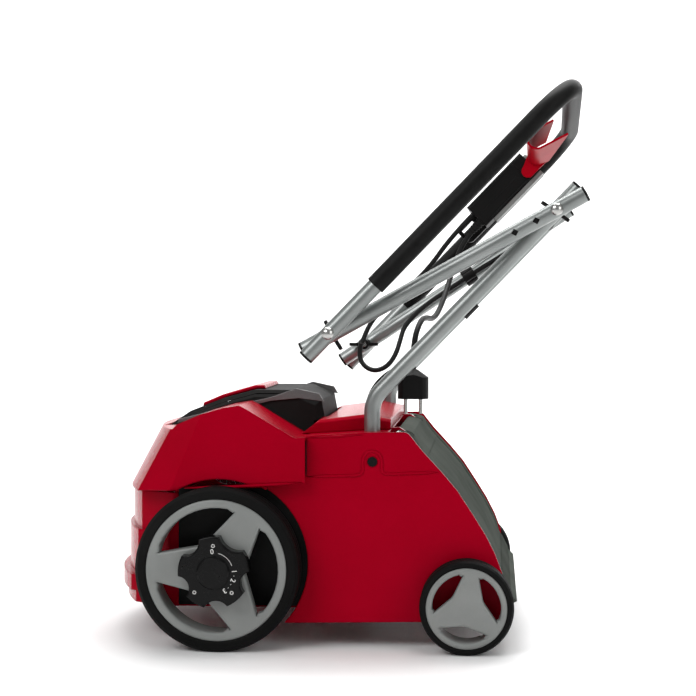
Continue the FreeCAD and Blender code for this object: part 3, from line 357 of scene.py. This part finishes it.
def bead(mesh, points, width, rise, across=None, normal=None):
    """A rounded ridge along a path; its ends run out flat."""
    path = smooth_path(points)
    rows = []
    for index, point in enumerate(path):
        heading = (path[min(index + 1, len(path) - 1)] - path[max(index - 1, 0)]).normalized()
        side = across if across else heading.cross(normal).normalized()
        out = heading.cross(side).normalized() if across else normal
        fade = min(1.0, 0.25 + 0.75 * min(index, len(path) - 1 - index) / 2)
        row = []
        for turn in range(BEAD_SIDES + 1):
            angle = math.pi * turn / BEAD_SIDES
            reach = side * math.cos(angle) * width / 2 * fade
            lift = out * (math.sin(angle) * rise * fade - BEAD_SINK)
            row.append(mesh.verts.new(point + reach + lift))
        rows.append(row)
    for near, far in zip(rows, rows[1:]):
        for k, after in zip(range(BEAD_SIDES + 1), [*range(1, BEAD_SIDES + 1), 0]):
            mesh.faces.new((near[k], near[after], far[after], far[k]))
    mesh.faces.new(rows[0][::-1])
    mesh.faces.new(rows[-1])


def lathe(mesh, profile, centre, axis, segments=48):
    """Turn (radius, height) points round an axis; the profile starts and ends on the axis."""
    along = Vector(axis).normalized()
    first = along.orthogonal().normalized()
    second = along.cross(first)
    rings = []
    for radius, height in profile[1:-1]:
        ring = []
        for k in range(segments):
            angle = 2 * math.pi * k / segments
            outward = first * math.cos(angle) + second * math.sin(angle)
            ring.append(mesh.verts.new(centre + along * height + outward * radius))
        rings.append(ring)
    for near, far in zip(rings, rings[1:]):
        for k in range(segments):
            mesh.faces.new((near[k], near[(k + 1) % segments], far[(k + 1) % segments], far[k]))
    for ring, (_, height) in ((rings[0], profile[0]), (rings[-1], profile[-1])):
        tip = mesh.verts.new(centre + along * height)
        for k in range(segments):
            mesh.faces.new((ring[k], ring[(k + 1) % segments], tip))


# ---------------------------------------------------------------- strain relief on the mains lead

RELIEF_RIBS, RIB_PITCH, RIB_TAPER, RIB_DEPTH = 6, 0.0042, 0.0004, 0.0009
relief = bmesh.new()
relief_axis = (MAINS_ROUTE[1] - MAINS_ROUTE[0]).normalized()
relief_profile = [(0, -0.001), (0.0072, -0.001), (0.0074, 0.002)]
for rib in range(RELIEF_RIBS):
    radius = 0.0070 - rib * RIB_TAPER
    start = 0.0035 + rib * RIB_PITCH
    relief_profile += [(radius - RIB_DEPTH, start), (radius - RIB_DEPTH, start + 0.0012),
                       (radius, start + 0.0018), (radius - 0.0001, start + 0.0036)]
relief_profile += [(0.0043, 0.0305), (0, 0.0305)]
lathe(relief, relief_profile, MAINS_ROUTE[0], relief_axis, 32)
add_piece("mains_strain_relief", relief, "upper_section", "cord_rubber")

# ---------------------------------------------------------------- parting lines on the switch box

BOX_FAR_END, BOX_NEAR_FACE = 354, 150
box_lines = bmesh.new()
near_face = ACROSS * -1
bead(box_lines, [on_handle(a, BOX_NEAR_FACE, 9) for a in (BOX_START + 2, 300, 334)], 0.0016, 0.0005,
     normal=near_face)
bead(box_lines, [on_handle(336, BOX_NEAR_FACE, up) for up in (-7, 10, 28)], 0.0022, 0.0008,
     normal=near_face)
for up in (-6, 27):
    bead(box_lines, [on_handle(a, BOX_NEAR_FACE, up) for a in (BOX_START + 5, 300, BOX_FAR_END - 5)],
         0.0026, 0.0009, normal=near_face)
add_piece("switch_box_lines", box_lines, "upper_section", "black_plastic")

# ---------------------------------------------------------------- depth dial

DIAL = Vector((-0.1446, -0.2463, 0.100))
DIAL_SKIN = 0.0004
NUMBER_RING, NUMBER_SIZE, NUMBER_DEPTH, SCREW_RING = 0.0253, 0.0085, 0.0002, 0.0325


def on_dial(radius, degrees, lift=0.0):
    """A point on the face of the depth knob."""
    angle = math.radians(degrees)
    return DIAL + Vector((radius * math.cos(angle), -lift, radius * math.sin(angle)))


scale_marks = bmesh.new()
outwards = Vector((0, -1, 0))
LINE_WIDTH = 0.0009
bead(scale_marks, [on_dial(0.0243, angle) for angle in (80, 64, 48, 32, 16)], LINE_WIDTH, DIAL_SKIN,
     normal=outwards)
for angle in (-7.5, -33, -44):
    bead(scale_marks, [on_dial(NUMBER_RING, angle + 3), on_dial(NUMBER_RING, angle - 3)], LINE_WIDTH,
         DIAL_SKIN, normal=outwards)
add_piece("dial_scale", scale_marks, "depth_axle", "print_white")

for digit, angle in (("0", 93), ("1", 5), ("2", -20), ("3", -57)):
    text = bpy.data.curves.new(f"dial_{digit}", "FONT")
    text.body = digit
    text.size = NUMBER_SIZE
    text.extrude = NUMBER_DEPTH
    text.align_x = "CENTER"
    text.align_y = "CENTER"
    number = bpy.data.objects.new(f"dial_{digit}", text)
    bpy.context.collection.objects.link(number)
    number.location = on_dial(NUMBER_RING, angle, NUMBER_DEPTH)
    number.rotation_euler = (math.radians(90), math.radians(90 - angle), 0)
    text.materials.append(MATERIALS["print_white"])
    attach(number, "depth_axle")

# small black discs on the knob's screw heads: painted shade for the dark sockets in the screws
socket_shades = bmesh.new()
for angle in (90, 226, 314):
    spot = on_dial(SCREW_RING, angle, 0.0012)
    lathe(socket_shades, [(0, 0.0001), (0.0013, 0.0001), (0.0012, 0.0004), (0, 0.0003)], spot, outwards, 6)
add_piece("knob_screw_socket_shades", socket_shades, "depth_axle", "knob_black", smooth=False)

# ---------------------------------------------------------------- wheel rims

ARC_STEPS = 12
BARREL_DEPTH, RIM_POINTS, RIM_CHAMFER = 0.034, 120, 0.0028
HUB_PROFILE = [(0, 0.0), (0.015, 0.0), (0.013, -0.030), (0, -0.030)]


def rounded(points, radius):
    """A closed outline with its corners rounded; points are (x, z) pairs."""
    outline = []
    for index, corner in enumerate(points):
        here = Vector(corner)
        before = Vector(points[index - 1]) - here
        after = Vector(points[(index + 1) % len(points)]) - here
        cut = min(radius, before.length * 0.45, after.length * 0.45)
        start, end = here + before.normalized() * cut, here + after.normalized() * cut
        for step in range(CORNER_STEPS + 1):
            t = step / CORNER_STEPS
            outline.append(start * (1 - t) ** 2 + here * 2 * t * (1 - t) + end * t * t)
    return outline


def spoke_window(angle, opening, vertex, rim_half):
    """The opening between two spokes, centred on an angle, with its point towards the hub."""
    reach = 60 - math.degrees(math.asin(rim_half / opening))
    corners = [(vertex, 0)]
    for step in range(ARC_STEPS + 1):
        turn = math.radians(-reach + 2 * reach * step / ARC_STEPS)
        corners.append((opening * math.cos(turn), opening * math.sin(turn)))
    sharp = rounded([corners[0], corners[1], corners[-1]], 0.004)
    arc = [Vector(c) for c in corners[2:-1]]
    first_two = 2 * (CORNER_STEPS + 1)
    outline = sharp[:first_two] + arc + sharp[first_two:]
    cosine, sine = math.cos(math.radians(angle)), math.sin(math.radians(angle))
    return [(x * cosine - z * sine, x * sine + z * cosine) for x, z in outline]


def rim_turns():
    """The angles of the points round a rim."""
    return [math.radians(360 / RIM_POINTS * k) for k in range(RIM_POINTS)]


def rim_face(name, centre, side, outer, windows, thick, bevel):
    """A flat rim with windows cut through it and chamfered edges all round."""
    curve = bpy.data.curves.new(name, "CURVE")
    curve.dimensions = "2D"
    curve.fill_mode = "BOTH"
    curve.extrude = thick / 2 - bevel
    curve.bevel_depth = bevel
    curve.bevel_resolution = 1
    curve.offset = -bevel
    circle = [(outer * math.cos(t), outer * math.sin(t)) for t in rim_turns()]
    for outline in [circle, *windows]:
        spline = curve.splines.new("POLY")
        spline.points.add(len(outline) - 1)
        for point, (x, z) in zip(spline.points, outline):
            point.co = (x, z, 0, 1)
        spline.use_cyclic_u = True
    holder = bpy.data.objects.new(name, curve)
    bpy.context.collection.objects.link(holder)
    bpy.context.view_layer.update()
    data = bpy.data.meshes.new_from_object(holder)
    bpy.data.objects.remove(holder)
    data.transform(Matrix.Rotation(math.radians(90), 4, "X"))
    data.transform(Matrix.Translation(centre - Vector((0, side * thick / 2, 0))))
    mesh = bmesh.new()
    mesh.from_mesh(data)
    bmesh.ops.remove_doubles(mesh, verts=mesh.verts, dist=1e-6)
    return mesh


# name, centre (x, z), face distance, rim and opening radius, spoke angles, window point, half spoke,
# depth
WHEELS = [
    ("front", (-0.1446, 0.100), 0.230, 0.0862, 0.0755, (58, 178, 298), 0.034, 0.0175, 0.018),
    ("rear", (0.1581, 0.057), 0.2285, 0.0492, 0.0415, (82, 202, 322), 0.0215, 0.0092, 0.014),
]


def add_barrel(mesh, x, z, side, face, inner, outer):
    """The ring behind the rim's face, which carries the tyre."""
    rings = []
    for radius, depth in ((inner, 0), (inner, BARREL_DEPTH), (outer, BARREL_DEPTH), (outer, 0)):
        y = side * (face - depth)
        rings.append([mesh.verts.new((x + radius * math.cos(t), y, z + radius * math.sin(t)))
                      for t in rim_turns()])
    for near, far in zip(rings, rings[1:] + rings[:1]):
        for k in range(RIM_POINTS):
            mesh.faces.new((near[k], near[(k + 1) % RIM_POINTS], far[(k + 1) % RIM_POINTS], far[k]))


for kind, (x, z), face, outer, opening, spokes, vertex, rim_half, thick in WHEELS:
    for side, word in SIDES:
        centre = Vector((x, side * face, z))
        windows = [spoke_window(angle + 60, opening, vertex, rim_half) for angle in spokes]
        body = f"{kind}_wheel_{word}"
        mesh = rim_face(f"{body}_face", centre, side, outer, windows, thick, RIM_CHAMFER)
        add_barrel(mesh, x, z, side, face - 0.003, opening + 0.0005, outer)
        lathe(mesh, HUB_PROFILE, centre - Vector((0, side * 0.006, 0)), (0, side, 0), 32)
        rim = add_piece(f"{body}_rim_detail", mesh, body, "wheel_grey", smooth=False)
        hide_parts(f"{body}_rim")

# ---------------------------------------------------------------- dark cores behind the square holes

CORE_PROFILE = [(0, 0.0), (0.006, 0.0), (0.0083, 0.003), (0.0083, 0.051), (0.006, 0.054), (0, 0.054)]

for side, word in SIDES:
    foot, head = lower_line(side * TUBE), upper_line(side * TUBE)
    way = (head - foot).normalized()
    core = bmesh.new()
    lathe(core, CORE_PROFILE, foot + way * 0.017, way, 32)
    add_piece(f"tube_core_{word}", core, "middle_section", "black_plastic")

# ---------------------------------------------------------------- lines on the side panels

DECK_WALL, HOOD_WALL = 190, 205
ARCH_LINE = ((-38, 210), (0, 211.5), (22, 212.4), (29, 215), (30.6, 222), (30.6, 231), (34.5, 239),
             (42.2, 242), (50, 239), (53.8, 231), (53.8, 222), (55.5, 216), (62, 214), (90, 215.3),
             (124, 216.8))


def at_wall(y, *points):
    """Points on an upright wall, each given as (x, z) in millimetres."""
    return [millimetres(x, y, z) for x, z in points]


for side, word in SIDES:
    outside = Vector((0, side, 0))
    wall = side * DECK_WALL
    crease = bmesh.new()
    bead(crease, at_wall(wall, *ARCH_LINE), 0.0042, 0.002, normal=outside)
    bead(crease, at_wall(wall, (31, 262), (-38, 257.6)), 0.0036, 0.0016, normal=outside)
    bead(crease, at_wall(side * HOOD_WALL, (-188, 196.5), (-115, 199.5), (-42, 204.5)), 0.004, 0.002,
         normal=outside)
    add_piece(f"panel_crease_{word}", crease, "housing", "red_plastic")
    # a thin black bead along the seam between the red panels: painted shade for the dark gap there
    painted_seam_shade = bmesh.new()
    bead(painted_seam_shade, at_wall(wall, (-39.4, 206), (-39.4, 230), (-39.4, 259)), 0.0018, 0.0005, normal=outside)
    add_piece(f"panel_seam_painted_shade_{word}", painted_seam_shade, "housing", "black_plastic")

# ---------------------------------------------------------------- ribs on the discharge flap

FLAP_PROFILE = [(92, 253.5), (101, 240.5), (125, 214.5), (144, 192), (162, 164.5), (178, 139),
                (190, 115.5), (198, 94)]
SIDE_RIBS = (-179, -172.5, -166, -159.5, 159.5, 166, 172.5, 179)
LIP = [(199, 92), (205, 80), (212, 66)]
LIP_RIBS, LIP_START, LIP_PITCH = 31, -174, 11.6
ribs = bmesh.new()
for y in SIDE_RIBS:
    bead(ribs, [millimetres(x, y, z) for x, z in FLAP_PROFILE], 0.0028, 0.0016, across=Vector((0, 1, 0)))
for step in range(LIP_RIBS):
    y = LIP_START + step * LIP_PITCH
    bead(ribs, [millimetres(x, y, z) for x, z in LIP], 0.0034, 0.0018, across=Vector((0, 1, 0)))
add_piece("flap_ribs", ribs, "flap", "flap_grey")

# ---------------------------------------------------------------- floor and light


FLOOR_FRONT, FLOOR_BACK, FLOOR_HALF, FLOOR_HIGH, FLOOR_CURVE, FLOOR_STEPS = -4.0, 3.2, 5.0, 3.5, 1.2, 12
MIDDLE = (0, 0, 0.3)
# name, place, target, width, height, power
LIGHTS = [
    ("key", (-1.4, -1.8, 2.0), MIDDLE, 1.6, 1.2, 36),
    ("fill", (2.0, -1.6, 1.2), MIDDLE, 1.2, 1.6, 15),
    ("top", (0.2, 0.3, 2.4), MIDDLE, 1.8, 1.4, 40),
    ("rim", (0.8, 1.9, 1.6), MIDDLE, 1.6, 0.8, 12),
    ("backdrop", (0, 1.0, 2.6), (0, 3.2, 0.6), 3.0, 1.0, 110),
]


def make_floor():
    """A pale floor that curves up into a backdrop."""
    mesh = bmesh.new()
    bend = FLOOR_BACK - FLOOR_CURVE
    profile = [(FLOOR_FRONT, 0.0), (bend, 0.0)]
    for step in range(1, FLOOR_STEPS + 1):
        turn = math.radians(90 * step / FLOOR_STEPS)
        profile.append((bend + FLOOR_CURVE * math.sin(turn), FLOOR_CURVE - FLOOR_CURVE * math.cos(turn)))
    profile.append((FLOOR_BACK, FLOOR_HIGH))
    rows = [[mesh.verts.new((x, y, z)) for x in (-FLOOR_HALF, FLOOR_HALF)] for y, z in profile]
    for near, far in zip(rows, rows[1:]):
        mesh.faces.new((near[0], near[1], far[1], far[0]))
    data = bpy.data.meshes.new("floor")
    mesh.to_mesh(data)
    mesh.free()
    for face in data.polygons:
        face.use_smooth = True
    floor = bpy.data.objects.new("floor", data)
    bpy.context.collection.objects.link(floor)
    material = bpy.data.materials.new("floor")
    material.use_nodes = True
    shader = material.node_tree.nodes["Principled BSDF"]
    shader.inputs["Base Color"].default_value = (0.86, 0.86, 0.86, 1)
    shader.inputs["Roughness"].default_value = 0.7
    data.materials.append(material)


def area_light(name, place, target, width, height, power):
    """A soft rectangular light that points at its target."""
    data = bpy.data.lights.new(name, "AREA")
    data.shape = "RECTANGLE"
    data.size = width
    data.size_y = height
    data.energy = power
    light = bpy.data.objects.new(name, data)
    light.location = place
    light.rotation_euler = (Vector(target) - Vector(place)).to_track_quat("-Z", "Y").to_euler()
    bpy.context.collection.objects.link(light)


def make_light():
    """An even pale surround and the studio lights."""
    world = bpy.data.worlds.new("studio")
    bpy.context.scene.world = world
    world.use_nodes = True
    background = world.node_tree.nodes["Background"]
    background.inputs["Color"].default_value = (1, 1, 1, 1)
    background.inputs["Strength"].default_value = 0.3
    for light in LIGHTS:
        area_light(*light)


make_floor()
make_light()
bpy.context.scene.view_settings.view_transform = "Standard"
